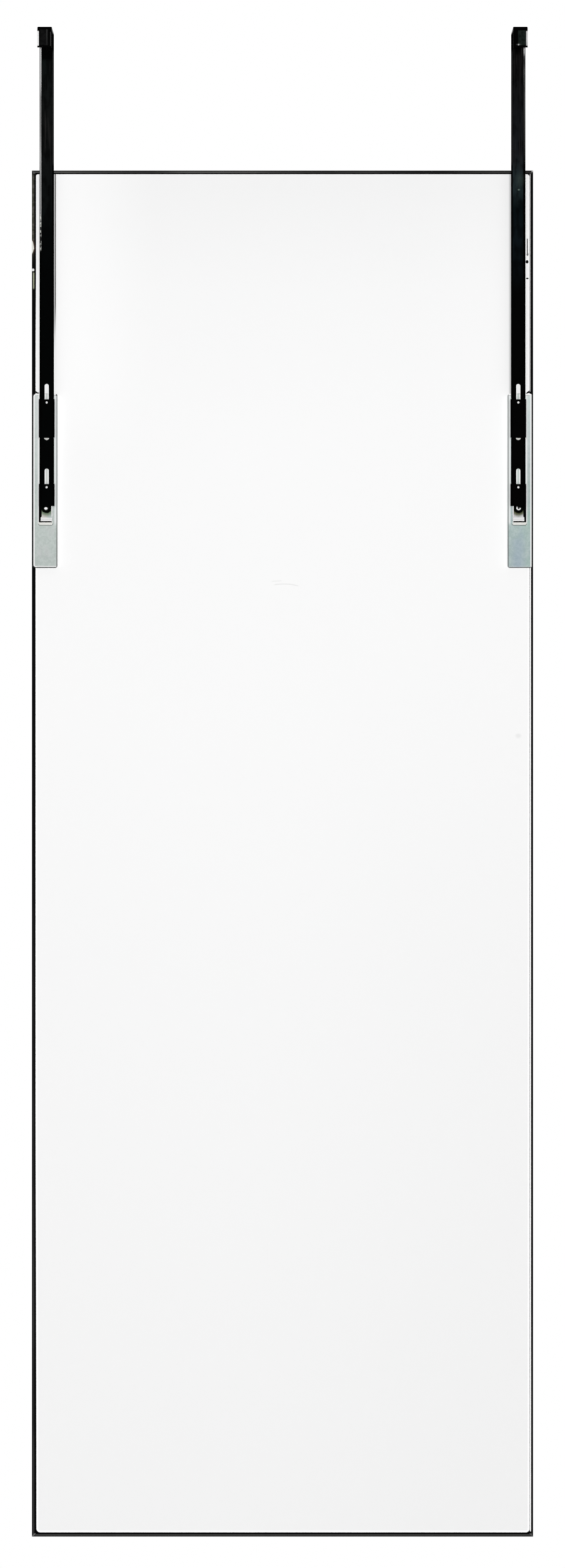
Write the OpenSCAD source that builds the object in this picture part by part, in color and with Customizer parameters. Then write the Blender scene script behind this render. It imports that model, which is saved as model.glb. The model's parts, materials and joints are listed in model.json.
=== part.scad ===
// Over the door mirror: a thin-framed mirror panel that hangs from two steel straps.
// Millimetres. X runs across the mirror, +Y points from the door to the reflecting face, +Z is up.
// The origin is on the door's top front edge, midway between the two hooks.

/* [Frame] */
// Width of the frame over its outer faces
frame_w = 468; // [320:1:700]
// Height of the frame over its outer faces
frame_h = 1276; // [700:1:1900]
// Width of the hollow rim, as seen from behind
rim_w = 3.2; // [3.1:0.1:7]
// Wall thickness of the hollow rim
rim_wall = 1.1; // [0.8:0.05:1.3]
// Radius along the long edges of the rim
rim_round = 1.2; // [0.4:0.1:1.5]
// Width of the frame's front face
front_lip_w = 10; // [8:0.5:30]
// Thickness of the lip that holds the glass
front_lip_t = 1.2; // [0.8:0.1:2]
// Length of each leg of a corner key
key_leg = 28; // [15:1:60]
// Width of a corner key's strip, along the frame's depth
key_w = 10; // [5:0.5:10.4]
// Clearance of a corner key in the hollow of the rim
key_gap = 0.1; // [0.05:0.05:0.3]

/* [Glass and board] */
// Thickness of the sealing bead between lip and glass
bead_t = 0.5; // [0.3:0.1:1]
// Width of the sealing bead
bead_w = 4.5; // [2:0.5:5]
// Thickness of the mirror glass
glass_t = 3; // [2:0.5:5]
// Thickness of the safety film on the back of the glass
film_t = 0.3; // [0.1:0.05:0.5]
// Thickness of the foam tape between film and board
tape_t = 1; // [0.6:0.1:3]
// Width of one strip of foam tape
tape_w = 25; // [10:1:40]
// Number of strips of foam tape
tape_count = 5; // [2:1:7]
// Distance of the tape's ends from the board's ends
tape_inset = 30; // [10:1:80]
// Thickness of the back board
board_t = 9; // [6:0.5:15]
// How far the board's face lies below the rim's back
board_recess = 0.4; // [0.2:0.1:1]
// Corner radius of the back board
board_corner_r = 2.6; // [1:0.5:6]
// Gap between the rim and the edges of glass and board
edge_gap = 0.3; // [0.2:0.1:1]

/* [Hook straps] */
// How far a strap's centre line lies inwards of its plate's
strap_offset = 1.6; // [0:0.1:1.8]
// Width of a strap
strap_w = 13.4; // [11:0.1:16]
// Thickness of a strap
strap_t = 1.5; // [1.2:0.1:2]
// Clear gap over the door, between strap and lip
door_gap = 44; // [25:1:60]
// How far the lip reaches down behind the door
lip_drop = 17.8; // [10:0.1:60]
// Inside radius of the bends over the door
bend_r = 0.8; // [0.5:0.1:3]
// Distance from the door's top down to the frame
frame_drop = 125.5; // [20:0.5:300]
// How far the raised lengths of a strap step out towards the door
raise = 1.6; // [1.4:0.1:2.2]
// Length of the slope at each step
step_len = 1.6; // [1:0.1:3]
// How far that slope stays inside the strap's round edges
step_inset = 0.15; // [0.1:0.05:0.5]
// Width of a strap's raised lengths
raised_w = 14.6; // [13.5:0.1:17]
// Length of the upper raised length
raised_len = 35.7; // [30:0.1:37]
// Length of the raised lower end
end_len = 20.6; // [18:0.1:24]
// Distance from the upper hook to the lower one
hook_pitch = 79; // [70:0.5:100]
// Width of the slot that a hook was cut from
slot_w = 4; // [3:0.1:6]
// Length of that slot
slot_len = 14.4; // [9:0.1:20]
// Height of a hook's upturned end
hook_rise = 4; // [2:0.1:4.3]
// Side clearance of a hook in its slot
hook_side_gap = 0.1; // [0.05:0.05:0.3]
// Diameter of the small hole below each hook
dot_d = 2.2; // [1.5:0.1:3]
// Distance of that hole below the hook's top
dot_drop = 3.1; // [3:0.1:5]
// Diameter of the half-round hole below the upper raised length
moon_d = 4.8; // [3:0.1:7]
// How far its flat side lies below the upper raised length
moon_drop = 0.4; // [0:0.1:1]
// Clearance between a hook's seat and the edge that rests on it
seat_gap = 0.2; // [0.1:0.05:0.3]

/* [Plates] */
// Width of a zinc plate
plate_w = 23.5; // [21:0.1:28]
// Height of a zinc plate
plate_h = 162.6; // [140:0.5:200]
// Sheet thickness of a plate
plate_t = 1.2; // [1:0.1:1.4]
// Radius along a plate's folded edges
plate_edge_r = 1; // [0.5:0.1:1.1]
// Corner radius of a plate
plate_corner_r = 2.8; // [2.3:0.1:4]
// How high a plate's face stands above the board
standoff = 6; // [5.5:0.1:9]
// Width of rim left showing outside a plate
rim_show = 0.85; // [0.3:0.05:1.5]
// Distance from the top of the frame down to a plate
plate_drop = 208.7; // [10:0.5:400]
// Distance from a plate's top down to its upper window
window_drop = 5.5; // [4:0.1:8]
// How far the windows lie inwards of the plate's centre line
window_offset = 0.5; // [0:0.1:1]
// Width of a window
window_w = 12.7; // [12.2:0.1:14.5]
// Height of a window
window_h = 38.4; // [37.5:0.1:40]
// Radius of a window's corners
window_r = 1.7; // [0.5:0.1:3]
// Height of the sloping lip at a window's foot
foot_h = 2.8; // [2:0.1:3.2]
// How far that lip leans in behind the plate
foot_lean = 2.2; // [1:0.1:3]
// How far it reaches past the window's sides, behind the plate
foot_side = 0.4; // [0.2:0.1:1]
// Clearance between a strap and the plate it hangs on
run_gap = 0.3; // [0.2:0.05:0.5]
// Mouth radius of a screw cup
cup_r = 4.6; // [4.2:0.1:5.5]
// Sheet thickness of a screw cup, drawn thinner than the plate
cup_wall = 1; // [0.8:0.05:1.2]
// Clearance round a screw's head at the foot of its cup
head_gap = 0.4; // [0.2:0.1:0.6]
// Distance between the two screw cups of a plate
cup_pitch = 12; // [11:0.5:14]
// Depth of the cups' middle below the upper window
cup_drop = 13; // [11:0.5:16]

/* [Screws] */
// Shank radius of a plate screw
screw_r = 1.5; // [1:0.1:2]
// Head radius of a plate screw
screw_head_r = 2.8; // [2.3:0.1:3.2]
// Radius of the head's flat top
screw_top_r = 2; // [1:0.1:2.2]
// Head height of a plate screw
screw_head_h = 1.8; // [1.2:0.1:2.6]
// Length of a plate screw below its head
screw_len = 9; // [5:0.5:10]

/* [Latches] */
// Width of a latch leaf's stem
leaf_w = 8.9; // [7.5:0.1:9.7]
// Width of a leaf's curled tip
tip_w = 10.7; // [9.9:0.1:11.6]
// Thickness of a latch leaf
leaf_t = 0.8; // [0.5:0.1:1]
// Distance of a leaf's root below its window's top
root_drop = 9.5; // [9:0.1:11]
// Height of the cross bar at a leaf's root
root_h = 3.4; // [2:0.1:3.8]
// Width of that cross bar
root_w = 18; // [16:0.1:18.6]
// Gap between a leaf's tip and the lip at its window's foot
tip_gap = 1.1; // [0.5:0.1:2.5]
// Inside radius of the curl at a leaf's tip
curl_r = 1.6; // [1:0.1:2]
// Angle through which the tip curls
curl_angle = 38; // [25:1:60]
// Straight length after the curl
curl_flat = 2.4; // [1:0.1:2.6]
// Head radius of a latch stud
stud_r = 2.8; // [2:0.1:3]
// Shank radius of a latch stud
stud_shank_r = 1.2; // [0.8:0.1:1.6]
// Tail radius of a latch stud
stud_tail_r = 1.9; // [1.8:0.1:2.4]
// Tail height of a latch stud
stud_tail_h = 0.5; // [0.3:0.1:0.8]
// How far a stud stands in the path of its strap's end
catch = 0.3; // [0.1:0.05:0.4]
// Free gap between stud and strap end at rest
catch_gap = 0.25; // [0.15:0.05:0.5]
// Gap between a plate and the leaf behind it
leaf_gap = 0.3; // [0.25:0.05:0.4]
// Radius of the rounded root bar that the leaf rocks on, less than the gap
rock_r = 0.28; // [0.2:0.01:0.28]

/* [Hidden] */
$fn = 48;
// Overlap of faces that would otherwise only touch
eps = 0.01;
// How far a cut runs past what it cuts
over = 1;

// Depths, from the door towards the room
strap_y = raise;
plate_y = strap_y + strap_t + run_gap;
board_y = plate_y + standoff;
rim_y = board_y - board_recess;
tape_y = board_y + board_t;
film_y = tape_y + tape_t;
glass_y = film_y + film_t;
bead_y = glass_y + glass_t;
front_y = bead_y + bead_t + front_lip_t;
frame_depth = front_y - rim_y;

// Heights, down from the door's top
frame_top = -frame_drop;
frame_mid = frame_top - frame_h / 2;
plate_top = frame_top - plate_drop;
hook_count = 2;
function window_top(i) = plate_top - window_drop - i * hook_pitch;
strap_end = window_top(hook_count - 1) - end_len;

// Widths
glazed_w = frame_w - 2 * (rim_w + edge_gap);
glazed_h = frame_h - 2 * (rim_w + edge_gap);
plate_x = frame_w / 2 - rim_show - plate_w / 2;
strap_x = plate_x - strap_offset;
window_x = plate_x - window_offset;
// A leaf keeps to the window's inner side, where it has an eighth of the free width
leaf_side_gap = (window_w - tip_w) / 8;
leaf_x = window_x - window_w / 2 + leaf_side_gap + tip_w / 2;

// The latch leaf and its stud
leaf_y = plate_y + plate_t + leaf_gap;
leaf_len = window_h - foot_h - tip_gap - root_drop;
stud_y = strap_t - catch + stud_r;
stud_drop = end_len + sqrt(pow(stud_r + catch_gap, 2) - pow(stud_r - catch, 2));
stud_arm = stud_drop - root_drop;
// The upper leaf is held down by the strap that lies over its stud
held_angle = asin((catch + catch_gap) / stud_arm);
// The straight end after the curl, and the height at which the curl starts
end_y = curl_flat * sin(curl_angle);
end_z = curl_flat * cos(curl_angle);
curl_z = -leaf_len + (curl_r + leaf_t) * sin(curl_angle) + end_z;
curl_steps = 10;

module rounded_rect(w, h, r) {
    translate([-w / 2 + r, -h / 2])
        square([w - 2 * r, h]);
    translate([-w / 2, -h / 2 + r])
        square([w, h - 2 * r]);
    for (x = [-1, 1], y = [-1, 1])
        translate([x * (w / 2 - r), y * (h / 2 - r)])
            circle(r);
}

// Extrudes an outline drawn in X and Z along Y, from y0 to y0 + t
module along_y(y0, t) {
    translate([0, y0 + t, 0])
        rotate([90, 0, 0])
            linear_extrude(t)
                children();
}

// Extrudes an outline drawn in Y and Z along X, centred on X = 0
module along_x(w) {
    rotate([90, 0, 90])
        linear_extrude(w, center = true)
            children();
}

module sided(side) {
    if (side < 0)
        mirror([1, 0, 0]) children();
    else
        children();
}

// ---- Frame ----

// Section of a frame rail: X inwards from the outer face, Y from back to front
module rail_section() {
    difference() {
        union() {
            translate([rim_w / 2, frame_depth / 2])
                rounded_rect(rim_w, frame_depth, rim_round);
            translate([rim_w / 2, frame_depth - front_lip_t])
                square([front_lip_w - rim_w / 2, front_lip_t]);
        }
        translate([rim_wall, rim_wall])
            square([rim_w - 2 * rim_wall, frame_depth - rim_wall - front_lip_t]);
    }
}

module rail(length) {
    intersection() {
        linear_extrude(length, center = true)
            rail_section();
        along_y(0, frame_depth)
            polygon([
                [0, -length / 2],
                [front_lip_w, -length / 2 + front_lip_w],
                [front_lip_w, length / 2 - front_lip_w],
                [0, length / 2]
            ]);
    }
}

module frame_top_rail() {
    color([0.1, 0.1, 0.11])
        translate([0, rim_y, frame_top])
            rotate([0, 90, 0])
                rail(frame_w);
}

module frame_bottom_rail() {
    color([0.1, 0.1, 0.11])
        translate([0, rim_y, frame_top - frame_h])
            rotate([0, -90, 0])
                rail(frame_w);
}

module frame_left_rail() {
    color([0.12, 0.12, 0.13])
        translate([-frame_w / 2, rim_y, frame_mid])
            rail(frame_h);
}

module frame_right_rail() {
    color([0.12, 0.12, 0.13])
        mirror([1, 0, 0])
            translate([-frame_w / 2, rim_y, frame_mid])
                rail(frame_h);
}

module corner_key() {
    key_t = rim_w - 2 * rim_wall - key_gap;
    along_y(rim_y + rim_wall + (frame_depth - rim_wall - front_lip_t - key_w) / 2, key_w)
        difference() {
            square(key_leg);
            translate([key_t, key_t])
                square(key_leg);
        }
}

module corner_keys() {
    color([0.6, 0.62, 0.64])
        for (x = [-1, 1], z = [-1, 1])
            translate([x * (frame_w / 2 - rim_wall), 0, frame_mid + z * (frame_h / 2 - rim_wall)])
                mirror([x > 0 ? 1 : 0, 0, 0])
                    mirror([0, 0, z > 0 ? 1 : 0])
                        corner_key();
}

// ---- Glass, film, tape and board ----

module sealing_bead() {
    color([0.85, 0.85, 0.85])
        translate([0, 0, frame_mid])
            along_y(bead_y, bead_t)
                difference() {
                    square([glazed_w, glazed_h], center = true);
                    square([glazed_w - 2 * bead_w, glazed_h - 2 * bead_w], center = true);
                }
}

module mirror_glass() {
    color([0.75, 0.82, 0.84])
        translate([0, 0, frame_mid])
            along_y(glass_y, glass_t)
                square([glazed_w, glazed_h], center = true);
}

module safety_film() {
    color([0.9, 0.9, 0.92])
        translate([0, 0, frame_mid])
            along_y(film_y, film_t)
                square([glazed_w, glazed_h], center = true);
}

module foam_tape() {
    tape_pitch = (glazed_w - 2 * tape_inset - tape_w) / (tape_count - 1);
    color([0.95, 0.95, 0.9])
        for (i = [0 : tape_count - 1])
            translate([(i - (tape_count - 1) / 2) * tape_pitch, 0, frame_mid])
                along_y(tape_y, tape_t)
                    square([tape_w, glazed_h - 2 * tape_inset], center = true);
}

module back_board() {
    color([0.96, 0.96, 0.96])
        difference() {
            translate([0, 0, frame_mid])
                along_y(board_y, board_t)
                    rounded_rect(glazed_w, glazed_h, board_corner_r);
            for (side = [-1, 1])
                screw_places(side)
                    translate([0, board_y - eps, 0])
                        rotate([-90, 0, 0])
                            cylinder(h = screw_len - plate_t + eps, r = screw_r);
        }
}

// ---- Plates and their screws ----

// The two screws of a plate lie on its strap's centre line, hidden by the strap
module screw_places(side) {
    sided(side)
        for (i = [-1, 1])
            translate([strap_x, 0, window_top(0) - window_h - cup_drop + i * cup_pitch / 2])
                children();
}

// A rectangle from Y = 0 to depth, with its two corners at Y = 0 rounded
module rounded_front(w, depth, r) {
    translate([-w / 2 + r, 0])
        square([w - 2 * r, depth]);
    translate([-w / 2, r])
        square([w, depth - r]);
    for (x = [-1, 1])
        translate([x * (w / 2 - r), r])
            circle(r);
}

// A slab with corners of radius corner_r, whose front edges are rounded by r all round
module rounded_slab(w, h, depth, corner_r, r) {
    linear_extrude(h - 2 * corner_r, center = true)
        rounded_front(w, depth, r);
    rotate([0, 90, 0])
        linear_extrude(w - 2 * corner_r, center = true)
            rounded_front(h, depth, r);
    for (x = [-1, 1], z = [-1, 1])
        translate([x * (w / 2 - corner_r), 0, z * (h / 2 - corner_r)])
            rotate([-90, 0, 0])
                rotate_extrude() {
                    square([corner_r - r, depth]);
                    translate([0, r])
                        square([corner_r, depth - r]);
                    translate([corner_r - r, r])
                        circle(r);
                }
}

// Side view of the lip at a window's foot: the foot at Z = 0, the plate's face at Y = 0
module foot_profile() {
    polygon([
        [0, -plate_t],
        [0, 0],
        [foot_lean, foot_h],
        [foot_lean + plate_t, foot_h],
        [plate_t, 0],
        [plate_t, -plate_t]
    ]);
}

module plate(side) {
    cup_foot_r = screw_head_r + head_gap;
    difference() {
        union() {
            sided(side)
                translate([plate_x, plate_y, plate_top - plate_h / 2])
                    difference() {
                        rounded_slab(plate_w, plate_h, standoff, plate_corner_r, plate_edge_r);
                        along_y(plate_t, standoff)
                            rounded_rect(plate_w - 2 * plate_t, plate_h - 2 * plate_t,
                                plate_corner_r - plate_t);
                        for (i = [0 : hook_count - 1])
                            translate([-window_offset, 0,
                                       window_top(i) - plate_top + (plate_h - window_h) / 2])
                                along_y(-eps, plate_t + 2 * eps)
                                    rounded_rect(window_w, window_h, window_r);
                    }
            sided(side)
                for (i = [0 : hook_count - 1])
                    translate([window_x, plate_y, window_top(i) - window_h])
                        along_x(window_w + 2 * foot_side)
                            foot_profile();
            screw_places(side)
                translate([0, plate_y + plate_t / 2, 0])
                    rotate([-90, 0, 0])
                        cylinder(h = standoff - plate_t / 2, r1 = cup_r + cup_wall / 2,
                            r2 = cup_foot_r + cup_wall);
        }
        screw_places(side)
            translate([0, plate_y - eps, 0])
                rotate([-90, 0, 0]) {
                    cylinder(h = standoff - plate_t + eps, r1 = cup_r, r2 = cup_foot_r);
                    cylinder(h = standoff + 2 * eps, r = screw_r);
                }
        // The outer wall stands on the rim, which is higher than the board
        sided(side)
            translate([frame_w / 2 - rim_w - edge_gap, rim_y, plate_top - plate_h - over])
                cube([rim_w + edge_gap, board_recess + over, plate_h + 2 * over]);
    }
}

module left_plate() {
    color([0.72, 0.76, 0.75])
        plate(-1);
}

module right_plate() {
    color([0.72, 0.76, 0.75])
        plate(1);
}

module plate_screws(side) {
    screw_places(side)
        translate([0, board_y - plate_t, 0])
            rotate([-90, 0, 0]) {
                translate([0, 0, -eps])
                    cylinder(h = screw_len + eps, r = screw_r);
                translate([0, 0, -screw_head_h])
                    cylinder(h = screw_head_h, r1 = screw_top_r, r2 = screw_head_r);
            }
}

module left_plate_screws() {
    color([0.8, 0.8, 0.78])
        plate_screws(-1);
}

module right_plate_screws() {
    color([0.8, 0.8, 0.78])
        plate_screws(1);
}

// ---- Latches ----

function arc_points(cy, cz, r, from, to, steps) =
    [for (i = [0 : steps]) let (a = from + (to - from) * i / steps) [cy + r * cos(a), cz + r * sin(a)]];

// Side view of a leaf, with the middle of its root at the origin and its front face at Y = 0
module leaf_profile() {
    front = arc_points(-curl_r, curl_z, curl_r, 0, -curl_angle, curl_steps);
    back = arc_points(-curl_r, curl_z, curl_r + leaf_t, 0, -curl_angle, curl_steps);
    polygon(concat(
        [[leaf_t, root_h / 2], [0, root_h / 2]],
        front,
        [front[curl_steps] - [end_y, end_z], back[curl_steps] - [end_y, end_z]],
        [for (i = [curl_steps : -1 : 0]) back[i]]
    ));
}

// Front view of a leaf: a stem with sloping shoulders down to a wider tip
module leaf_outline() {
    shoulder = (tip_w - leaf_w) / 2;
    polygon([
        [-leaf_w / 2, root_h / 2],
        [leaf_w / 2, root_h / 2],
        [leaf_w / 2, curl_z + shoulder],
        [tip_w / 2, curl_z],
        [tip_w / 2, -leaf_len - over],
        [-tip_w / 2, -leaf_len - over],
        [-tip_w / 2, curl_z],
        [-leaf_w / 2, curl_z + shoulder]
    ]);
}

// Puts a latch piece, drawn about its leaf's root, into window i
module latch_place(side, i) {
    sided(side)
        translate([leaf_x, leaf_y, window_top(i) - root_drop])
            rotate([i == 0 ? held_angle : 0, 0, 0])
                children();
}

module leaf(side, i) {
    latch_place(side, i)
        difference() {
            union() {
                intersection() {
                    along_x(tip_w)
                        leaf_profile();
                    along_y(-curl_r - leaf_len, curl_r + leaf_len + leaf_t + over)
                        leaf_outline();
                }
                translate([plate_x - leaf_x, 0, 0])
                    along_x(root_w)
                        translate([0, -root_h / 2])
                            square([leaf_t, root_h]);
                translate([plate_x - leaf_x, 0, 0])
                    rotate([0, 90, 0])
                        cylinder(h = root_w, r = rock_r, center = true);
            }
            translate([0, -over, -stud_arm])
                rotate([-90, 0, 0])
                    cylinder(h = leaf_t + 2 * over, r = stud_shank_r);
        }
}

module stud(side, i) {
    latch_place(side, i)
        translate([0, 0, -stud_arm])
            rotate([-90, 0, 0])
                rotate_extrude()
                    stud_section();
}

// Half section of a stud: X from its axis, Y along it from the leaf's front face
module stud_section() {
    intersection() {
        translate([0, stud_y - leaf_y])
            circle(stud_r);
        translate([0, -2 * stud_r])
            square([stud_r, 2 * stud_r]);
    }
    translate([0, -eps])
        square([stud_shank_r, leaf_t + 2 * eps]);
    translate([0, leaf_t])
        square([stud_tail_r, stud_tail_h]);
}

module left_upper_leaf() {
    color([0.74, 0.77, 0.76])
        leaf(-1, 0);
}

module left_upper_stud() {
    color([0.8, 0.82, 0.8])
        stud(-1, 0);
}

module left_lower_leaf() {
    color([0.74, 0.77, 0.76])
        leaf(-1, 1);
}

module left_lower_stud() {
    color([0.8, 0.82, 0.8])
        stud(-1, 1);
}

module right_upper_leaf() {
    color([0.74, 0.77, 0.76])
        leaf(1, 0);
}

module right_upper_stud() {
    color([0.8, 0.82, 0.8])
        stud(1, 0);
}

module right_lower_leaf() {
    color([0.74, 0.77, 0.76])
        leaf(1, 1);
}

module right_lower_stud() {
    color([0.8, 0.82, 0.8])
        stud(1, 1);
}

// ---- Hook straps ----

// Section of the strap's bar, with round edges: X across it, Y through its thickness
module bar_section(w) {
    translate([-(w - strap_t) / 2, 0])
        square([w - strap_t, strap_t]);
    for (x = [-1, 1])
        translate([x * (w - strap_t) / 2, strap_t / 2])
            circle(strap_t / 2);
}

// An upright length of strap with its door side at y, drawn down from its upper end
module bar_run(w, y, low, high) {
    translate([0, y, high])
        mirror([0, 0, 1])
            linear_extrude(high - low)
                bar_section(w);
}

// The slope between two lengths of strap that lie raise apart, with its ends inside them
module bar_step(low, low_y, high_y) {
    high = low + step_len;
    along_x(strap_w - 2 * step_inset)
        polygon([
            [low_y, low - eps],
            [low_y + strap_t, low - eps],
            [low_y + strap_t, low],
            [high_y + strap_t, high],
            [high_y + strap_t, high + eps],
            [high_y, high + eps],
            [high_y, high],
            [low_y, low]
        ]);
}

// A quarter bend about an axis along X at y and z, from angle from, measured from +Y towards +Z
module bar_bend(y, z, from) {
    translate([0, y, z])
        rotate([from, 0, 0])
            rotate([90, 0, 90])
                rotate_extrude(angle = 90)
                    translate([bend_r, 0])
                        rotate([0, 0, 90])
                            mirror([0, 1, 0])
                                bar_section(strap_w);
}

// A level length of strap that runs from the plane Y = 0 towards the lip
module bridge_run(length) {
    rotate([90, 0, 0])
        linear_extrude(length)
            bar_section(strap_w);
}

module door_hook() {
    lip_y = strap_y - door_gap - strap_t;
    near_y = strap_y - bend_r;
    far_y = lip_y + strap_t + bend_r;
    half_bridge = (near_y - far_y) / 2;
    bar_bend(near_y, -bend_r, 0);
    bar_bend(far_y, -bend_r, 90);
    // Two halves of the bridge that overlap a little in the middle
    translate([0, near_y, 0])
        bridge_run(half_bridge + eps);
    translate([0, far_y, 0])
        mirror([0, 1, 0])
            bridge_run(half_bridge + eps);
    bar_run(strap_w, lip_y, -lip_drop, -bend_r);
}

// Side view of a hook: from the raised length through the window and up behind the plate
module hook_profile() {
    hook_y = plate_y + plate_t + run_gap;
    top = -seat_gap;
    translate([strap_t / 2, top - strap_t])
        square([hook_y - strap_t / 2, strap_t]);
    intersection() {
        translate([hook_y, top])
            circle(strap_t);
        translate([hook_y, top - strap_t])
            square(strap_t);
    }
    translate([hook_y, top])
        square([strap_t, hook_rise]);
}

module strap_bar() {
    upper = window_top(0);
    lower = window_top(1);
    // Plain length from the door's top to the upper window
    bar_run(strap_w, strap_y, upper + step_len, -bend_r);
    bar_step(upper, 0, strap_y);
    // Upper raised length, over the upper latch
    bar_run(raised_w, 0, upper - raised_len, upper);
    bar_step(upper - raised_len - step_len, strap_y, 0);
    // Plain length on the plate
    bar_run(strap_w, strap_y, lower + step_len, upper - raised_len - step_len);
    bar_step(lower, 0, strap_y);
    // Raised lower end, over the lower latch
    bar_run(raised_w, 0, strap_end, lower);
}

module strap_holes() {
    for (i = [0 : hook_count - 1])
        translate([0, 0, window_top(i)])
            along_y(-over, strap_y + strap_t + 2 * over) {
                translate([0, slot_len - slot_w / 2])
                    circle(slot_w / 2);
                translate([-slot_w / 2, -seat_gap])
                    square([slot_w, slot_len - slot_w / 2 + seat_gap]);
                translate([0, -dot_drop])
                    circle(dot_d / 2);
            }
    translate([0, 0, window_top(0) - raised_len])
        along_y(-over, strap_y + strap_t + 2 * over)
            intersection() {
                circle(moon_d / 2);
                translate([-moon_d / 2, -moon_d / 2 - moon_drop])
                    square([moon_d, moon_d / 2]);
            }
}

module strap(side) {
    sided(side)
        translate([strap_x, 0, 0]) {
            difference() {
                union() {
                    strap_bar();
                    door_hook();
                }
                strap_holes();
            }
            for (i = [0 : hook_count - 1])
                translate([0, 0, window_top(i)])
                    along_x(slot_w - 2 * hook_side_gap)
                        hook_profile();
        }
}

module left_strap() {
    color([0.06, 0.06, 0.065])
        strap(-1);
}

module right_strap() {
    color([0.06, 0.06, 0.065])
        strap(1);
}

frame_top_rail();
frame_bottom_rail();
frame_left_rail();
frame_right_rail();
corner_keys();
sealing_bead();
mirror_glass();
safety_film();
foam_tape();
back_board();
left_plate();
right_plate();
left_plate_screws();
right_plate_screws();
left_upper_leaf();
left_upper_stud();
left_lower_leaf();
left_lower_stud();
right_upper_leaf();
right_upper_stud();
right_lower_leaf();
right_lower_stud();
left_strap();
right_strap();
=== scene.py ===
"""Over the door mirror, seen from the side that lies against the door.

Metres. X runs across the mirror, +Y points from the door to the reflecting face, +Z is up, and the
origin is on the door's top front edge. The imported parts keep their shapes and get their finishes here.
The finishes work in millimetres of the same frame, so a mark stays on its place whatever looks at it.
"""
import json
import math

import bpy
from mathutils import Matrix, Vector


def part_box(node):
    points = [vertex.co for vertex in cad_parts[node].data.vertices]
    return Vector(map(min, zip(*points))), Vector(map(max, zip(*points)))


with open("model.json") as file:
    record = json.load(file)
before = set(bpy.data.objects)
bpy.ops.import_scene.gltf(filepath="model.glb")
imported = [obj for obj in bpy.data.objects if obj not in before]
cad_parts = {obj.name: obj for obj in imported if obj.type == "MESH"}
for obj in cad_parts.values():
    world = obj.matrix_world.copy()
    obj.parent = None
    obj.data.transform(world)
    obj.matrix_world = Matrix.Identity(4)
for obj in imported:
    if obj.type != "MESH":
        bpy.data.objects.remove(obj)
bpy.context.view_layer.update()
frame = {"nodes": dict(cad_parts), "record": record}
MM = 0.001

# ---- Places that the finishes are set by, in millimetres, most worked out from the imported parts ----


def box_mm(node):
    low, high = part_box(node)
    return low / MM, high / MM


frame_low, frame_high = box_mm("frame_left_rail")
FRAME_TOP = frame_high.z
FRAME_FOOT = frame_low.z
FRAME_OUT = -frame_low.x
RIM_Y = frame_low.y
# The rim's width at the back, where the rail's front lip is wider
RIM_W = 3.2
board_low, board_high = box_mm("back_board")
BOARD_OUT = board_high.x
BOARD_Y = board_low.y
BOARD_FRONT_Y = board_high.y
BOARD_FOOT = board_low.z
strap_low, strap_high = box_mm("right_strap")
STRAP_X = (strap_low.x + strap_high.x) / 2
LIP_Y = strap_low.y
plate_low, plate_high = box_mm("right_plate")
PLATE_IN = plate_low.x
PLATE_OUT = plate_high.x
PLATE_TOP = plate_high.z
PLATE_FOOT = plate_low.z
stud_low, stud_high = box_mm("right_lower_stud")
STUD_X = (stud_low.x + stud_high.x) / 2
STUD_Z = (stud_low.z + stud_high.z) / 2
LEAF_TIP = box_mm("right_lower_leaf")[0].z
# Each plate's windows lie half a millimetre inwards of its middle. The strap has a slot above each
# window, and a small hole just below its top
WINDOW_X = (PLATE_IN + PLATE_OUT) / 2 - 0.5
WINDOW_HALF = 6.35
WINDOW_H = 38.4
WINDOW_STEP = 79.0
WINDOW_TOPS = (PLATE_TOP - 5.5, PLATE_TOP - 5.5 - WINDOW_STEP)
HOLE_DROP = 2.6
SLOT_H = 15.0


# ---- Colours ----

def tone(*levels):
    """A colour from its picture levels, 0 to 255. One level alone is a grey."""
    if len(levels) == 1:
        levels = levels * 3
    return tuple(((level / 255 + 0.055) / 1.055) ** 2.4 if level > 10 else level / 3294.6
                 for level in levels)


def grey(share):
    return (share, share, share)


# ---- Shader maths ----

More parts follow.
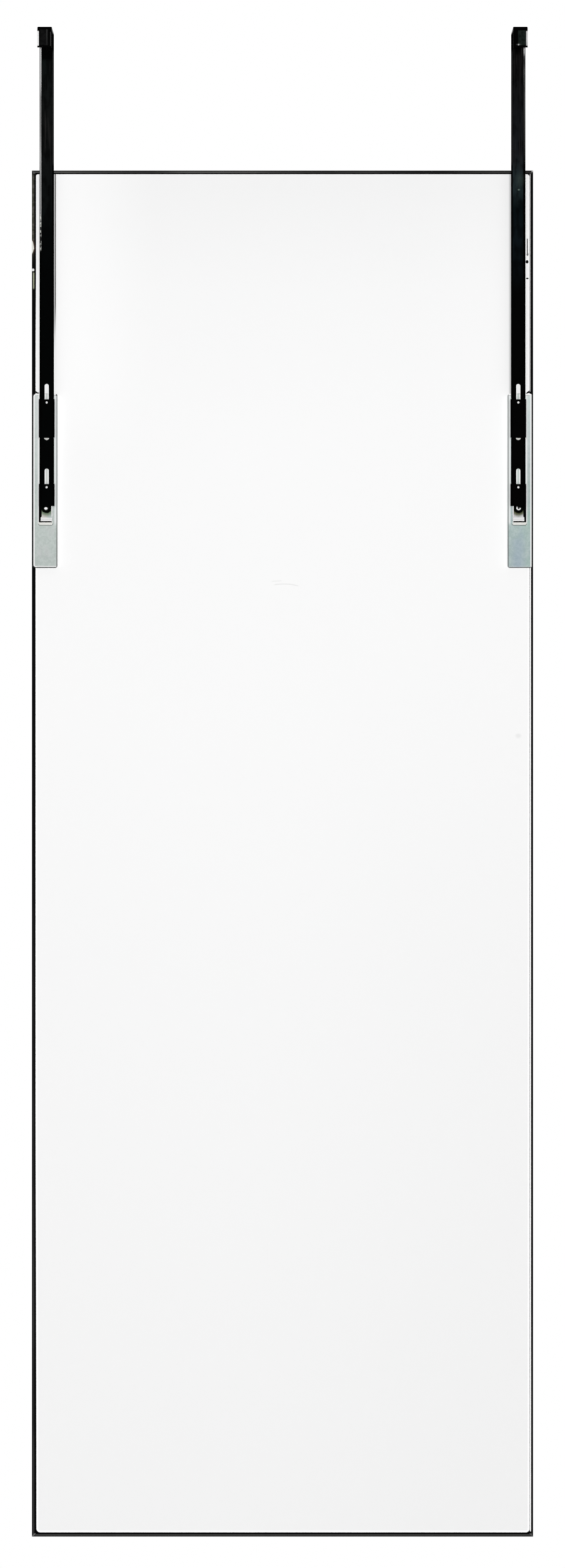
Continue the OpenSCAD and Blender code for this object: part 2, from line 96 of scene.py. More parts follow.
class Value:
    """A node's socket. Arithmetic on it adds Math nodes beside that node."""

    def __init__(self, tree, socket):
        self.tree = tree
        self.socket = socket

    def math(self, operation, *others):
        return self.tree.node("ShaderNodeMath", {"operation": operation}, [self, *others])

    def __add__(self, other):
        return self.math("ADD", other)

    def __sub__(self, other):
        return self.math("SUBTRACT", other)

    def __rsub__(self, other):
        return self.tree.node("ShaderNodeMath", {"operation": "SUBTRACT"}, [other, self])

    def __mul__(self, other):
        return self.math("MULTIPLY", other)

    def __truediv__(self, other):
        return self.math("DIVIDE", other)

    def __pow__(self, other):
        return self.math("POWER", other)

    __radd__ = __add__
    __rmul__ = __mul__

    def size(self):
        return self.math("ABSOLUTE")

    def least(self, other):
        return self.math("MINIMUM", other)

    def most(self, other):
        return self.math("MAXIMUM", other)

    def rise(self, start, end, low=0.0, high=1.0):
        """Goes smoothly from low to high while the value goes from start to end."""
        return self.tree.node("ShaderNodeMapRange", {"interpolation_type": "SMOOTHSTEP"},
                              {"Value": self, "From Min": start, "From Max": end,
                               "To Min": low, "To Max": high})

    def near(self, middle, reach, edge):
        """1 within reach of the middle, falling to 0 over the edge."""
        return (self - middle).size().rise(reach + edge, reach)

    def between(self, low, high, edge):
        """1 from low to high, falling to 0 over the edge outside them."""
        return self.near((low + high) / 2, (high - low) / 2, edge)

    def away(self, other):
        """How far two values at right angles to each other reach together."""
        return ((self ** 2.0) + (other ** 2.0)) ** 0.5

    def inside(self, other, radius):
        """Depth inside two edges that meet in a round corner, from the depths inside each of them."""
        return radius - (radius - self).most(0.0).away((radius - other).most(0.0))

    def ramp(self, *stops):
        """A colour by the value: a stop is a value, and the picture levels of the colour there."""
        low = stops[0][0]
        reach = stops[-1][0] - low
        places = [((value - low) / reach, tone(*levels)) for value, *levels in stops]
        return self.tree.node("ShaderNodeValToRGB", {"stops": places}, {"Fac": (self - low) / reach})


class Nodes:
    """The nodes of a material or a world: its own shader, and whatever feeds it."""

    def __init__(self, owner, shader):
        owner.use_nodes = True
        self.nodes = owner.node_tree.nodes
        self.links = owner.node_tree.links
        self.shader = self.nodes[shader]

    def node(self, kind, settings=None, values=None, output=0):
        """Adds a node: its settings first, then its sockets, by number or by name."""
        node = self.nodes.new(kind)
        for name, setting in (settings or {}).items():
            if name == "stops":
                ramp = node.color_ramp
                while len(ramp.elements) < len(setting):
                    ramp.elements.new(1.0)
                for element, (position, colour) in zip(ramp.elements, setting):
                    element.position = position
                    element.color = (*colour, 1.0)
            else:
                setattr(node, name, setting)
        pairs = values.items() if isinstance(values, dict) else enumerate(values or [])
        for key, value in pairs:
            if isinstance(value, Value):
                self.links.new(value.socket, node.inputs[key])
            else:
                node.inputs[key].default_value = value
        return Value(self, node.outputs[output])

    def feed(self, socket, value):
        self.links.new(value.socket, self.shader.inputs[socket])


class Finish(Nodes):
    """A material in the making, with the place on the object in millimetres."""

    def __init__(self, name, **constants):
        self.material = bpy.data.materials.new(name)
        super().__init__(self.material, "Principled BSDF")
        for socket, value in constants.items():
            self.shader.inputs[socket.replace("_", " ")].default_value = value
        self.place = self.node("ShaderNodeTexCoord", output="Object")
        self.x, self.y, self.z = [
            self.node("ShaderNodeSeparateXYZ", None, [self.place], axis) / MM for axis in "XYZ"]
        # Counted outwards from the middle on both sides
        self.wide = self.x.size()
        self.left = self.x.rise(1.0, -1.0)
        self.right = 1.0 - self.left

    def noise(self, scale, detail=2.0, upright=1.0):
        """Soft noise about 0.5, repeating about scale times in a metre, upwards times upright."""
        place = self.node("ShaderNodeMapping", {"vector_type": "POINT"},
                          {"Vector": self.place, "Scale": (1.0, 1.0, upright)})
        return self.node("ShaderNodeTexNoise", None, {"Vector": place, "Scale": scale, "Detail": detail})

    def cells(self, scale):
        """Distance in a field of random cells."""
        return self.node("ShaderNodeTexVoronoi", None, {"Vector": self.place, "Scale": scale})

    def spot(self, x, z, wide, high, edge=0.35):
        """An upright oval mark: 1 inside, 0 outside, half way at its outline."""
        across = (self.x - x) / wide
        upright = (self.z - z) / high
        return across.away(upright).rise(1.0 + edge, 1.0 - edge)

    def mix(self, share, first, second):
        """A colour between two colours, each a tuple or a Value."""
        colours = [c if isinstance(c, Value) else (*c, 1.0) for c in (first, second)]
        return self.node("ShaderNodeMix", {"data_type": "RGBA"},
                         {0: share, 6: colours[0], 7: colours[1]}, output=2)

    def painted(self, colour, *coats):
        """A colour with coats laid over it, each a share and the coat's own colour."""
        for share, coat in coats:
            colour = self.mix(share, colour, coat)
        return colour

    def bump(self, height, depth):
        """Raises the surface by depth millimetres where height is 1."""
        self.feed("Normal", self.node("ShaderNodeBump", None, {"Distance": depth * MM, "Height": height}))


# ---- Finishes ----

def black_coat_rim():
    """Satin black coat on the thin rails, with a painted sheen along the middle of their backs."""
    finish = Finish("black_rim_coat", IOR=1.5, Specular_IOR_Level=0.025)
    z = finish.z
    mottle = finish.noise(300.0, 3.0)
    streak = finish.noise(90.0, 3.0, upright=0.12)
    lengths = finish.noise(9.0)
    back = finish.y.rise(RIM_Y + 3.5, RIM_Y + 1.5)
    side = FRAME_OUT - finish.wide
    top = FRAME_TOP - z
    foot = z - FRAME_FOOT
    inset = side.least(top).least(foot)
    more_left = finish.left.rise(0.0, 1.0, 0.5, 1.0)
    # A painted sheen along the middle of the rails' backs, strongest on the top rail, and there on the
    # left
    sheen_top = top.rise(RIM_W + 0.2, RIM_W - 0.1) * lengths.rise(0.35, 0.65, 0.2, 0.75)
    sheen_left = finish.x.rise(100.0, -160.0, 0.45, 1.0)
    sheen_foot = foot.rise(RIM_W + 0.2, RIM_W - 0.1) * 0.4
    sheen_side = foot.rise(900.0, 60.0) * streak.rise(0.3, 0.7, 0.06, 0.22) * more_left
    middle = inset.near(1.65, 0.38, 0.4) * back
    painted_sheen = middle * (sheen_top * sheen_left).most(sheen_foot).most(sheen_side)
    mitre = (side - foot).size().rise(0.7, 0.2) * back * more_left
    crest = (side - top).size().rise(0.6, 0.15) * back
    # The left rail is worn near its top, with a notch, bare metal round it and a streak below it
    left_back = finish.left * back
    notch_z = FRAME_TOP - 71.5
    left_top = left_back * z.rise(notch_z - 18.0, notch_z + 12.0) * top.rise(3.0, 5.0)
    patchy = left_top * inset.rise(2.5, 1.9) * streak.rise(0.3, 0.7, 0.5, 1.0)
    from_notch = ((z - notch_z) / 5.2) ** 2.0
    notch = left_back * (inset + from_notch + mottle * 1.6).rise(2.9, 2.4)
    bared = left_back * (inset * 0.5 + from_notch * 0.7 + mottle).rise(2.4, 2.0)
    streaked = left_back * z.between(notch_z - 38.0, notch_z - 25.0, 2.0) * inset.near(1.7, 0.35, 0.4)
    # The board's white laps over the right rail, but for the painted shadow at the plate, and over the
    # corners
    lap_edge = z.rise(PLATE_TOP - 86.0, PLATE_TOP + 4.0, 2.05, 2.62)
    lapped = (side - lap_edge).rise(-0.12, 0.12) * foot.rise(4.6, 5.6) * top.rise(3.3, 3.6)
    whitened = 1.0 - z.between(PLATE_TOP - 1.0, PLATE_TOP + 2.0, 0.2)
    cornered = side.rise(3.3, 3.55) * top.rise(3.3, 3.55) * foot.rise(600.0, 700.0)
    hollow = finish.y.rise(BOARD_FRONT_Y + 0.8, BOARD_FRONT_Y + 0.3)
    finish.feed("Base Color", finish.painted(
        finish.mix(mottle * streak * 2.0, tone(2), tone(12, 12, 13)),
        (painted_sheen, tone(108, 108, 106)),
        (patchy, finish.mix(mottle.rise(0.35, 0.65), tone(62, 63, 52), tone(104, 101, 96))),
        (mitre * 0.75, tone(135)),
        (crest * 0.4, tone(120)),
        (bared * 0.8, tone(64, 50, 44)),
        (notch, tone(238, 238, 230)),
        (streaked * streak.rise(0.35, 0.6), tone(158, 162, 138)),
        (finish.spot(1.1 - FRAME_OUT, notch_z - 21.4, 1.1, 1.2) * back, tone(245)),
        (finish.spot(FRAME_OUT - 0.8, FRAME_TOP - 0.9, 0.7, 0.7) * back, tone(190)),
        ((finish.right * lapped * whitened).most(cornered) * hollow, tone(255))))
    finish.feed("Roughness", mottle.rise(0.2, 0.8, 0.3, 0.45))
    finish.bump(finish.noise(1800.0), 0.02)
    return finish.material


def board_by_straps(finish, by_strap):
    """Painted shadows of the straps on the board: a grey band and a dark line beside the left strap, a
    soft shade beside the right one.
    """
    above = finish.z.between(PLATE_TOP, FRAME_TOP, 3.0)
    up = finish.z - PLATE_TOP
    gap = finish.left * by_strap.between(-7.6, -6.0, 0.2) * up.rise(34.0, 79.0)
    line = finish.left * by_strap.near(-7.95, 0.22, 0.2) * up.rise(49.0, 89.0)
    shade = finish.right * by_strap.rise(-9.1, -6.2) * by_strap.rise(0.0, -5.0)
    return [
        (above * gap * 0.85, tone(160)),
        (above * line, tone(48)),
        (above * shade * 0.75, tone(150))]


def board_marks(finish):
    """The scratch, drop, dot and dash beside the right strap, two faint arcs and a smudge."""
    x = finish.x
    z = finish.z
    scratch_x = BOARD_OUT - 2.0
    scratch_z = FRAME_TOP - 77.0
    scratch = x.near(scratch_x, 0.3, 0.3) * z.between(scratch_z, scratch_z + 13.0, 0.6)
    drop = finish.spot(scratch_x + 0.2, scratch_z - 1.4, 0.9, 1.4)
    dot = finish.spot(scratch_x - 0.2, scratch_z - 8.3, 1.35, 1.6, 0.12)
    dash = finish.spot(scratch_x, scratch_z - 23.9, 1.25, 0.7, 0.25)
    arc_z = FRAME_TOP - 386.2
    sag = ((x - 1.3) ** 2.0) * 0.00995
    lower_arc = (z + sag).near(arc_z, 0.2, 0.5) * x.between(-6.0, 13.0, 3.0)
    upper_arc = (z - x * 0.07).near(arc_z + 3.1, 0.2, 0.5) * x.between(-9.0, -2.0, 2.0)
    smudge = finish.spot(BOARD_OUT - 10.4, FRAME_TOP - 528.0, 2.4, 2.0, 0.6)
    return [
        (scratch, tone(70)),
        (drop * 0.9, tone(80)),
        (dot, tone(6)),
        (dash, tone(16)),
        (lower_arc.most(upper_arc * 0.6) * 0.14, tone(90)),
        (smudge * 0.12, tone(120))]


def board_behind_plates(finish, by_strap):
    """What the straps' slots and the plates' windows show of the board, with painted light and shade, and
    a painted shadow round the plates' corners.
    """
    z = finish.z
    wide = finish.wide
    left = finish.left
    right = finish.right
    # Painted light: whiter where the straps' slots and small holes show it, lifting the shade in them
    holes = [z.near(window_top - HOLE_DROP, 2.0, 0.5) for window_top in WINDOW_TOPS]
    shown = z.rise(PLATE_TOP - 1.0, PLATE_TOP).most(holes[0].most(holes[1]))
    whitened = by_strap.near(0.0, 2.4, 0.4) * shown
    # Painted shade: dark behind the lower windows, but for the leaf's inner side, and under the lower
    # leaf's tip
    lower_top = WINDOW_TOPS[1]
    outer_gap = wide.between(WINDOW_X - 3.0, WINDOW_X + 8.0, 0.6)
    dark = outer_gap * z.between(lower_top - 42.0, lower_top - 14.0, 1.0)
    by_tip = z.between(LEAF_TIP - 2.4, LEAF_TIP + 1.2, 0.4)
    under_tip = wide.between(WINDOW_X - 5.2, WINDOW_X + 8.0, 0.5) * by_tip
    # A painted shadow: a dark bow round each plate's top outer corner
    reach = wide - BOARD_OUT
    left_bow = reach.rise(-2.3, 0.1, 0.5, 1.8)
    right_bow = reach.rise(-3.7, 0.3, 0.3, 2.1)
    bow_z = left * left_bow + right * right_bow + PLATE_TOP
    thick = left * 0.7 + right * reach.rise(-3.3, 0.3, 0.4, 0.95)
    bow = (z - bow_z).near(0.0, thick, 0.3) * reach.rise(-3.6, -2.8)
    return [
        (whitened, tone(255)),
        (dark.most(under_tip), tone(3)),
        (bow, tone(2))]


def white_board():
    """White faced board, with the marks that it has picked up beside the straps and plates."""
    finish = Finish("white_board_face", IOR=1.45, Specular_IOR_Level=0.06)
    x = finish.x
    z = finish.z
    wide = finish.wide
    up = z - PLATE_TOP
    foot = z - BOARD_FOOT
    by_strap = wide - STRAP_X
    cloud = finish.noise(3.0)
    fibre = finish.noise(700.0, 3.0, upright=0.35)
    flecks = finish.noise(420.0)
    # Painted light and shade: whiter upwards, and a little duller again at the top
    sheet = foot.ramp(
        (10.0, 241), (180.0, 241.6), (540.0, 244.4), (780.0, 247.6), (1030.0, 249.7), (1160.0, 249),
        (1266.0, 245))
    # Painted light: brighter towards the sides at the top and outside the right strap, lifting the shade
    # there; painted shade: dimmer on the right at the foot
    beside = wide.rise(110.0, 205.0) * up.rise(-66.0, 34.0) * finish.left.rise(0.0, 1.0, 0.15, 0.75)
    outside = finish.right * by_strap.rise(3.2, 5.2) * up.rise(-16.0, -4.0)
    dimmer = x.rise(-60.0, BOARD_OUT) * foot.rise(48.0, 1098.0, 0.4, 0.03)
    # A faint flecked band between the right strap and the rail
    band = x.near(BOARD_OUT - 1.9, 0.9, 0.8) * z.between(PLATE_TOP + 9.0, FRAME_TOP - 4.5, 8.0)
    # White along the rails, with round corners at the foot, and a dark edge under the rails
    lap = finish.left * (foot.rise(498.0, 18.0, 0.0, 0.9) + up.rise(4.0, 134.0, 0.0, 0.5))
    inside = (BOARD_OUT - wide - lap).inside(foot - 0.7, 3.4)
    finish.feed("Base Color", finish.painted(
        sheet,
        (cloud.rise(0.3, 0.7) * 0.05 + fibre * 0.03, tone(238)),
        (dimmer, tone(236)),
        (beside, tone(255)),
        (outside * 0.8, tone(255)),
        *board_by_straps(finish, by_strap),
        (band * flecks.rise(0.3, 0.7) * 0.4, tone(232)),
        (inside.rise(1.9, 1.1), tone(255)),
        *board_marks(finish),
        *board_behind_plates(finish, by_strap),
        (inside.rise(-0.02, -0.22), tone(2))))
    finish.feed("Roughness", fibre.rise(0.2, 0.8, 0.5, 0.62))
    finish.bump(fibre, 0.01)
    return finish.material


def zinc_tone(finish, mottle):
    """The sheet's colour, cooler downwards and on the right, with painted shade that makes it darker
    downwards and on the right.
    """
    foot = finish.z - PLATE_FOOT
    left = foot.ramp(
        (1.0, 184, 193, 189), (38.0, 191, 200, 196), (84.0, 193, 202, 199), (107.0, 202, 209, 207),
        (153.0, 213, 219, 217))
    right = foot.ramp(
        (1.0, 164, 181, 182), (38.0, 170, 189, 186), (84.0, 178, 190, 188), (107.0, 194, 204, 204),
        (153.0, 212, 223, 221))
    tint = finish.noise(120.0, 3.0, upright=0.7)
    return finish.painted(
        finish.mix(finish.left, right, left),
        (mottle.rise(0.35, 0.7) * 0.28, tone(222, 228, 226)),
        (mottle.rise(0.6, 0.3) * 0.2, tone(158, 170, 166)),
        (tint.rise(0.55, 0.75) * 0.16, tone(196, 214, 200)),
        (tint.rise(0.45, 0.25) * 0.16, tone(206, 198, 204)))


def window_feet(finish):
    """The sloped feet of the plates' windows, which are painted as a highlight, and the line of painted
    shade where the lower one bends.
    """
    feet = []
    for window_top in WINDOW_TOPS:
        above = finish.z - (window_top - WINDOW_H)
        side = WINDOW_HALF - (finish.wide - WINDOW_X).size()
        inside = side.inside(above - 0.4, 1.2)
        feet.append(inside.rise(-0.15, 0.1) * above.rise(3.2, 3.0))
    # The loop ends at the lower window
    bend = inside.near(-0.45, 0.2, 0.3) * above.rise(2.0, 1.0)
    return feet[0].most(feet[1]), bend


def zinc_plate():
    """Zinc plated sheet: pale, cool and finely mottled, with painted highlights at its edges and beside
    the strap, and painted shade along its inner edge and foot.
    """
    finish = Finish("zinc_sheet")
    z = finish.z
    left = finish.left
    right = finish.right
    mottle = finish.noise(420.0, 4.0)
    spangle = finish.cells(1100.0)
    cloud = finish.noise(60.0)
    by_strap = finish.wide - STRAP_X
    out = PLATE_OUT - finish.wide
    inn = finish.wide - PLATE_IN
    foot = z - PLATE_FOOT
    top = PLATE_TOP - z
    # Depth inside the outline, with the left plate's outer corners round
    radius = 2.9
    inside = (out - 0.5).inside(foot.least(top) + right * radius, radius)
    face = finish.y.rise(4.4, 4.0)
    blue = right * by_strap.near(0.0, 1.5, 7.0) * foot.rise(97.0, 47.0) * cloud.rise(0.3, 0.6)
    green = right * by_strap.rise(0.0, 8.0) * foot.rise(117.0, 57.0) * cloud.rise(0.65, 0.35)
    # Painted highlights along the strap, as far down as the lower window's foot
    lower_foot = WINDOW_TOPS[1] - WINDOW_H
    beside = z.rise(lower_foot - 2.0, lower_foot + 4.0)
    outer_line = by_strap.near(7.8, 0.5, 0.3) * beside
    inner_line = by_strap.near(-8.1, 0.8, 0.4) * beside
    # What the strap's slots show, painted paler and less metallic with painted highlights at their edges,
    # so they read bright in the slots' shade
    slots = [z.between(window_top, window_top + SLOT_H, 0.5) for window_top in WINDOW_TOPS]
    slot = by_strap.near(0.0, 2.6, 0.3) * slots[0].most(slots[1])
    slot_edge = slot * by_strap.size().rise(0.4, 1.0)
    lip, bend = window_feet(finish)
    finish.feed("Base Color", finish.painted(
        zinc_tone(finish, mottle * 0.8 + spangle * 0.2),
        (blue * 0.35, tone(150, 166, 190)),
        (green * 0.35, tone(158, 190, 176)),
        (outer_line * 0.85, tone(243)),
        (inner_line * 0.75, tone(238, 240, 240)),
        # The edges: painted highlights along the outer and top edges and above the foot, a dashed grey
        # line below the top one, painted shade and a pale rim along the inner edge, painted shade at the
        # foot, and black along the outer edge
        (inside.near(0.95, 0.35, 0.3) * out.rise(4.5, 3.0), tone(253)),
        (top.near(0.7, 0.6, 0.4), tone(250)),
        (top.near(1.9, 0.2, 0.3) * mottle.rise(0.45, 0.6) * 0.8, tone(178)),
        (foot.near(1.35, 0.3, 0.3) * left.rise(0.0, 1.0, 0.2, 0.9), tone(236)),
        (inn.near(0.7, 0.3, 0.25) * foot.rise(42.0, 22.0, 0.8, 0.95), tone(112)),
        (inn.rise(0.45, 0.25) * 0.7, tone(226)),
        (foot.near(0.1, 0.35, 0.3), finish.mix(left, tone(104), tone(60))),
        (inside.rise(0.6, 0.3) * out.rise(4.0, 2.5) * face, tone(3)),
        (finish.spot(-PLATE_IN - 0.45, PLATE_FOOT + 0.6, 0.7, 0.5), tone(25)),
        (finish.spot(-PLATE_IN - 0.95, PLATE_TOP - 1.2, 0.7, 0.8), tone(30)),
        (slot, finish.mix(left, tone(196, 208, 203), tone(207, 212, 208))),
        (slot_edge * 0.8, tone(250)),
        # Painted shade where the lower window's foot bends, and the feet painted white and not metallic as
        # a highlight
        (bend * 0.8, tone(120, 125, 120)),
        (lip, tone(255, 255, 250))))
    finish.feed("Metallic", (slot * 0.7 + lip).rise(1.0, 0.0))
    finish.feed("Roughness", mottle.rise(0.2, 0.8, 0.32, 0.46))
    finish.bump(mottle, 0.015)
    return finish.material


def zinc_leaf():
    """The leaves: the same sheet, olive round the stud and black in a painted shadow round it and under
    the strap's end, with the curled tips painted white as a highlight.
    """
    finish = Finish("zinc_leaf")
    z = finish.z
    left = finish.left
    mottle = finish.noise(500.0, 4.0)
    across = finish.wide - STUD_X
    from_stud = across.away(z - STUD_Z) + mottle * 1.2
    shaded = (z - mottle * 1.5).rise(STUD_Z - 2.2, STUD_Z - 1.4)
    lower_tip = z.near(LEAF_TIP, 2.9, 0.3)
    upper_tip = z.near(LEAF_TIP + WINDOW_STEP, 3.2, 0.3)
    tip = lower_tip.most(upper_tip)
    finish.feed("Base Color", finish.painted(
        finish.mix(left, tone(206, 208, 208), tone(208, 206, 200)),
        (mottle.rise(0.4, 0.65) * 0.35, tone(226, 220, 222)),
        (left * across.rise(0.5, -2.0) * 0.6, tone(168, 188, 188)),
        # Olive round the stud, and black in a painted shadow round the stud and under the strap's end
        (from_stud.rise(10.0, 5.8), finish.mix(left, tone(88, 92, 68), tone(118, 134, 112))),
        (from_stud.rise(6.0, 5.0).most(shaded), tone(5, 8, 5)),
        # The curled tips painted white and not metallic as a highlight
        (tip, tone(255))))
    finish.feed("Metallic", tip.rise(1.0, 0.0))
    finish.feed("Roughness", mottle.rise(0.2, 0.8, 0.32, 0.46))
    finish.bump(mottle, 0.015)
    return finish.material


def dark_stud():
    """The studs' dark heads, each with a painted glint: a patch on the left stud, a bow on the right."""
    finish = Finish("dark_stud_head", Metallic=1.0)
    turned = finish.noise(900.0, 3.0)
    across = finish.wide - STUD_X
    upright = finish.z - STUD_Z
    patch = finish.spot(-STUD_X - 0.4, STUD_Z - 0.6, 1.5, 1.2, 0.3)
    lower_part = (upright + across * 0.5).rise(1.0, 0.4)
    bow = finish.right * across.away(upright).near(1.6, 0.4, 0.35) * lower_part
    finish.feed("Base Color", finish.painted(
        finish.mix(turned, tone(12, 14, 12), tone(30, 34, 30)),
        (patch.most(bow) * turned.rise(0.15, 0.4, 0.8, 1.0), tone(252))))
    finish.feed("Roughness", turned.rise(0.2, 0.8, 0.2, 0.36))
    finish.bump(turned, 0.01)
    return finish.material


def strap_edges(finish, out):
    """The straps' long edges: black margins, a painted highlight line inside the inner edge, and along the
    outer edge a grey outline and a bright strip breaking into flecks, painted reflections of the light on
    the rounded edges.
    """
    z = finish.z
    left = finish.left
    # Painted reflections on the rounded outer edges: the grey outline and the bright strip, by height on
    # each side
    left_edge = z.ramp((-200.0, 2), (-172.0, 48), (-138.0, 56), (-112.0, 138), (-80.0, 110), (-41.0, 92))
    right_edge = z.ramp((-120.0, 1), (-80.0, 50), (-58.0, 80), (-41.0, 12))
    left_strip = z.ramp(
        (-198.0, 12), (-180.0, 72), (-165.0, 206), (-112.0, 194), (-90.0, 150), (-58.0, 160), (-46.0, 240),
        (-14.0, 254))
    right_strip = z.ramp(
        (-125.0, 1), (-109.0, 40), (-80.0, 62), (-50.0, 62), (-34.0, 108), (-24.0, 62), (-20.0, 110),
        (-16.0, 240))
    margin = out.rise(4.2, 4.8).most(out.rise(-5.0, -5.4))
    inner = out.near(-6.0, 0.22, 0.15) * z.between(-118.0, -18.0, 5.0)
    strip = out.near(5.42, 0.26, 0.15) * z.rise(-206.0, -198.0).most(finish.right)
    fleck_noise = finish.noise(900.0, upright=0.5)
    flecked_glint = left * out.near(5.6, 0.4, 0.3) * z.between(-198.0, -168.0, 5.0) * fleck_noise.rise(0.52, 0.62)
    return [
        (margin, tone(1)),
        (inner, tone(58)),
        (out.rise(5.8, 5.95), finish.mix(left, right_edge, left_edge)),
        (strip, finish.mix(left, right_strip, left_strip)),
        (flecked_glint, tone(200, 202, 196))]


def strap_lips(finish, out, ripple):
    """The lips of the hooks: a face framed in black and painted paler as a reflection, with a painted
    band, a painted line inside the inner edge, a bright painted strip along the outer edge and a painted
    glint.
    """
    z = finish.z
    left = finish.left
    lip = finish.y.rise(LIP_Y + 5.9, LIP_Y + 2.9)
    left_part = out.between(-3.3, 4.0, 0.2) * z.between(-15.6, -1.4, 0.4)
    right_part = out.between(-2.1, 4.6, 0.2) * z.between(-15.6, -2.4, 0.4)
    face = lip * (left * left_part + finish.right * right_part)
    patchy = finish.noise(420.0, 3.0)
    band = left * out.near(-2.1, 0.4, 0.5) * z.rise(-16.0, -2.0, 0.4, 0.9)
    strip = out.between(5.4, 6.9, 0.2) * z.between(-16.1, -2.8, 0.3)
    inner = left * out.near(-5.6, 0.2, 0.15) * z.between(-16.0, -4.0, 1.0)
    lip_glint_x = STRAP_X - 1.6
    return [
        (lip, tone(2)),
        # The faces painted paler in patches, as a reflection
        (face * patchy.rise(0.3, 0.7, 0.45, 1.0), finish.mix(left, tone(28, 35, 32), tone(20))),
        (face * band, tone(42)),
        (lip * strip, finish.mix(left, ripple.ramp((0.35, 150), (0.6, 205)), tone(250))),
        (lip * inner, tone(62)),
        # A painted glint at the lower inner corner of the right lip
        (lip * finish.spot(lip_glint_x, -15.2, 1.9, 0.6, 0.7) * 0.5, tone(90)),
        (lip * finish.spot(lip_glint_x - 0.1, -15.3, 0.7, 0.6, 0.5), tone(170))]


def black_coat_strap():
    """Gloss black coat on the hook straps, a little rippled, with painted reflections, highlights and
    shade on its faces and edges.
    """
    finish = Finish("black_strap_coat", IOR=1.5, Specular_IOR_Level=0.008)
    z = finish.z
    out = finish.wide - STRAP_X
    ripple = finish.noise(220.0, 3.0, upright=0.4)
    hairs = finish.noise(900.0, upright=0.03)
    # Painted reflection and shade: the faces grow paler upwards as they reflect the room, and go black in
    # the lips' painted shadow just under them
    left_face = z.ramp(
        (-218.0, 2, 3, 3), (-184.0, 4, 6, 6), (-167.0, 10, 13, 13), (-81.0, 18, 19, 19),
        (-25.0, 14, 18, 17), (-22.0, 3))
    right_face = z.ramp(
        (-241.0, 3), (-184.0, 13, 20, 24), (-161.0, 7, 14, 16), (-140.0, 32, 42, 44),
        (-110.0, 22, 24, 27), (-19.0, 15, 14, 14), (-14.0, 3))
    # A painted glint and a faint painted glow on the right strap
    glint_x = STRAP_X + 0.5
    glint_z = -144.4
    glint = finish.spot(glint_x, glint_z, 0.9, 0.7, 0.6)
    glow = finish.spot(glint_x + 1.3, glint_z + 9.4, 3.0, 5.0, 0.9)
    finish.feed("Base Color", finish.painted(
        finish.mix(finish.left, right_face, left_face),
        (ripple.rise(0.62, 0.35) * 0.6, tone(2)),
        (hairs.rise(0.55, 0.7) * z.rise(-170.0, -100.0) * 0.4, tone(44, 42, 42)),
        *strap_edges(finish, out),
        (glint.most(glow * 0.12), tone(88, 104, 96)),
        *strap_lips(finish, out, ripple)))
    finish.feed("Roughness", ripple.rise(0.2, 0.8, 0.10, 0.2))
    finish.bump(ripple, 0.004)
    return finish.material


def plain(name, colour, darker, roughness, scale, spread=0.05, **constants):
    """A plain finish with a fine grain."""
    finish = Finish(name, **constants)
    grain = finish.noise(scale, 3.0)
    finish.feed("Base Color", finish.mix(grain, darker, colour))
    finish.feed("Roughness", grain.rise(0.2, 0.8, roughness - spread, roughness + spread))
    finish.bump(grain, 0.01)
    return finish.material


def pale_floor():
    """A pale floor that keeps the object's shadow and turns as white as the room further off."""
    finish = Finish("pale_floor", Roughness=0.9)
    grain = finish.noise(6.0, 3.0)
    finish.feed("Base Color", finish.mix(grain, grey(0.78), grey(0.82)))
    camera_ray = finish.node("ShaderNodeLightPath", output="Is Camera Ray")
    glossy_ray = finish.node("ShaderNodeLightPath", output="Is Glossy Ray")
    share = finish.x.away(finish.y).rise(500.0, 3500.0) * camera_ray.most(glossy_ray)
    white = finish.node("ShaderNodeEmission")
    both = finish.node("ShaderNodeMixShader", None,
                       {0: share, 1: Value(finish, finish.shader.outputs[0]), 2: white})
    finish.links.new(both.socket, finish.nodes["Material Output"].inputs["Surface"])
    return finish.material


FINISHES = {
    "frame_black": black_coat_rim(),
    "key_metal": plain("mill_aluminium", grey(0.65), grey(0.5), 0.4, 600.0, Metallic=1.0),
    "bead_rubber": plain("clear_bead", grey(0.7), grey(0.55), 0.35, 300.0),
    "mirror_glass": plain("silvered_glass", (0.93, 0.95, 0.94), (0.91, 0.93, 0.92), 0.025, 4.0,
                          spread=0.008, Metallic=1.0),
    "film_plastic": plain("safety_film", grey(0.8), grey(0.7), 0.4, 900.0),
    "foam_plastic": plain("foam_tape", (0.85, 0.85, 0.8), (0.7, 0.7, 0.66), 0.9, 1500.0),
    "board_white": white_board(),
    "zinc_plate": zinc_plate(),
    "screw_steel": plain("bright_steel", (0.75, 0.77, 0.75), (0.5, 0.52, 0.5), 0.23, 900.0,
                         spread=0.07, Metallic=1.0),
    "zinc_leaf": zinc_leaf(),
    "stud_steel": dark_stud(),
    "strap_black": black_coat_strap(),
}
for part in frame["record"]["subparts"]:
    node = frame["nodes"][part["node"]]
    node.data.materials.clear()
    node.data.materials.append(FINISHES[part["material_slot"]])


# ---- Floor, light and camera, in metres ----

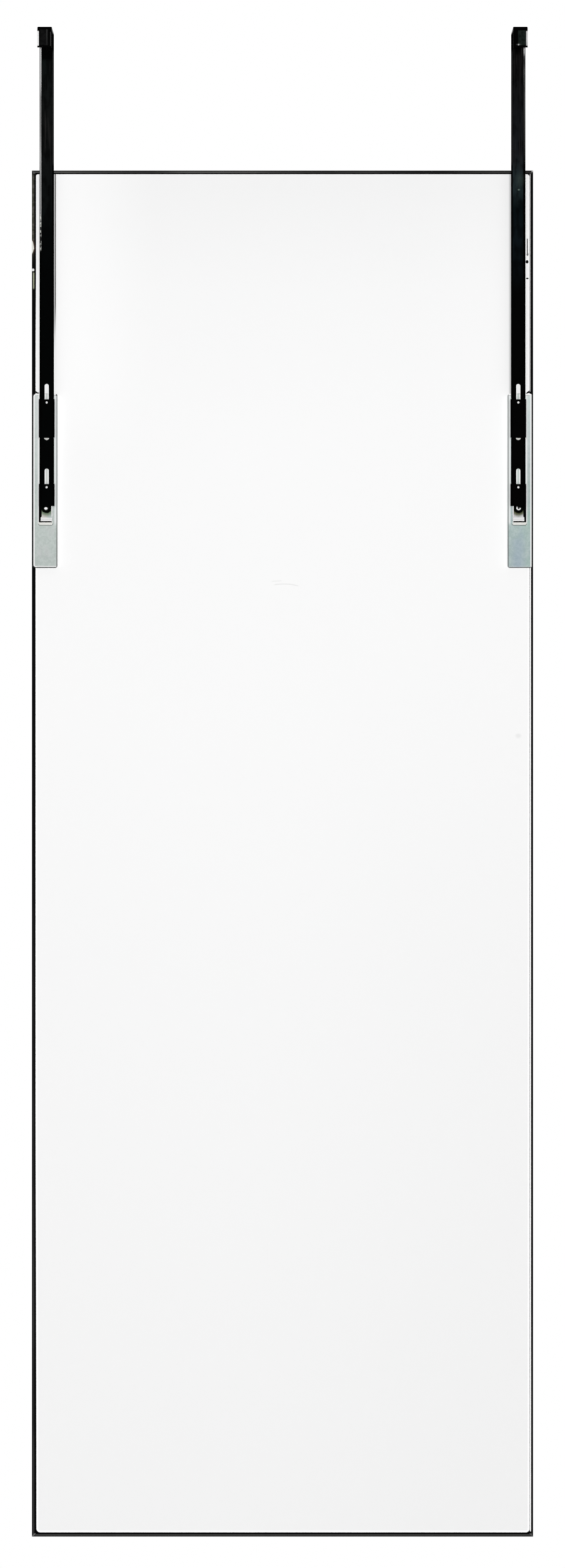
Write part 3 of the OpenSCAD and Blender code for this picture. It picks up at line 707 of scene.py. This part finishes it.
def white_room(brightness):
    """A world that looks white, and lights the object at an even level."""
    world = bpy.data.worlds.new("white_room")
    room = Nodes(world, "Background")
    room.shader.inputs["Color"].default_value = (1, 1, 1, 1)
    camera_ray = room.node("ShaderNodeLightPath", output="Is Camera Ray")
    glossy_ray = room.node("ShaderNodeLightPath", output="Is Glossy Ray")
    clear_ray = room.node("ShaderNodeLightPath", output="Is Transmission Ray")
    seen = camera_ray.most(glossy_ray).most(clear_ray)
    room.feed("Strength", seen * (1.0 - brightness) + brightness)
    bpy.context.scene.world = world


def lamp(name, place, target, width, power):
    """A soft square lamp at a place, turned to a target. The camera and mirrors don't see it."""
    light = bpy.data.lights.new(name, "AREA")
    light.shape = "SQUARE"
    light.size = width
    light.energy = power
    obj = bpy.data.objects.new(name, light)
    bpy.context.scene.collection.objects.link(obj)
    obj.location = place
    obj.rotation_euler = (Vector(target) - Vector(place)).to_track_quat("-Z", "Y").to_euler()
    obj.visible_camera = False
    obj.visible_glossy = False


MIDDLE = Vector((0.0, BOARD_Y, (FRAME_TOP + FRAME_FOOT) / 2)) * MM
LAMP_AWAY = 5.0
LAMP_Z = -0.62
white_room(0.13)
lamp("lamp_behind", (0.0, -LAMP_AWAY, LAMP_Z), MIDDLE, 0.25, 171.0)
lamp("lamp_before", (0.0, LAMP_AWAY, LAMP_Z), MIDDLE, 0.6, 160.0)
lamp("lamp_above", (0.0, 1.0, 2.5), (0.0, 1.0, -2.0), 1.0, 90.0)

FLOOR_DROP = 0.6
FLOOR_Z = FRAME_FOOT * MM - FLOOR_DROP
bpy.ops.object.select_all(action="DESELECT")
bpy.ops.mesh.primitive_plane_add(size=40.0, location=(0, 0, FLOOR_Z))
floor = bpy.context.object
floor.name = "floor"
floor.data.materials.append(pale_floor())

PICTURE_HEIGHT = 1.4644
CAMERA_AWAY = 5.0
LOOK_Z = -0.6985
SENSOR = 36.0
camera_data = bpy.data.cameras.new("camera")
camera_data.sensor_width = SENSOR
camera_data.lens = SENSOR * (CAMERA_AWAY + BOARD_Y * MM) / PICTURE_HEIGHT
camera = bpy.data.objects.new("camera", camera_data)
camera.location = (0.0, -CAMERA_AWAY, LOOK_Z)
camera.rotation_euler = (math.pi / 2, 0.0, 0.0)
bpy.context.scene.collection.objects.link(camera)
bpy.context.scene.camera = camera
bpy.context.scene.view_settings.view_transform = "Standard"
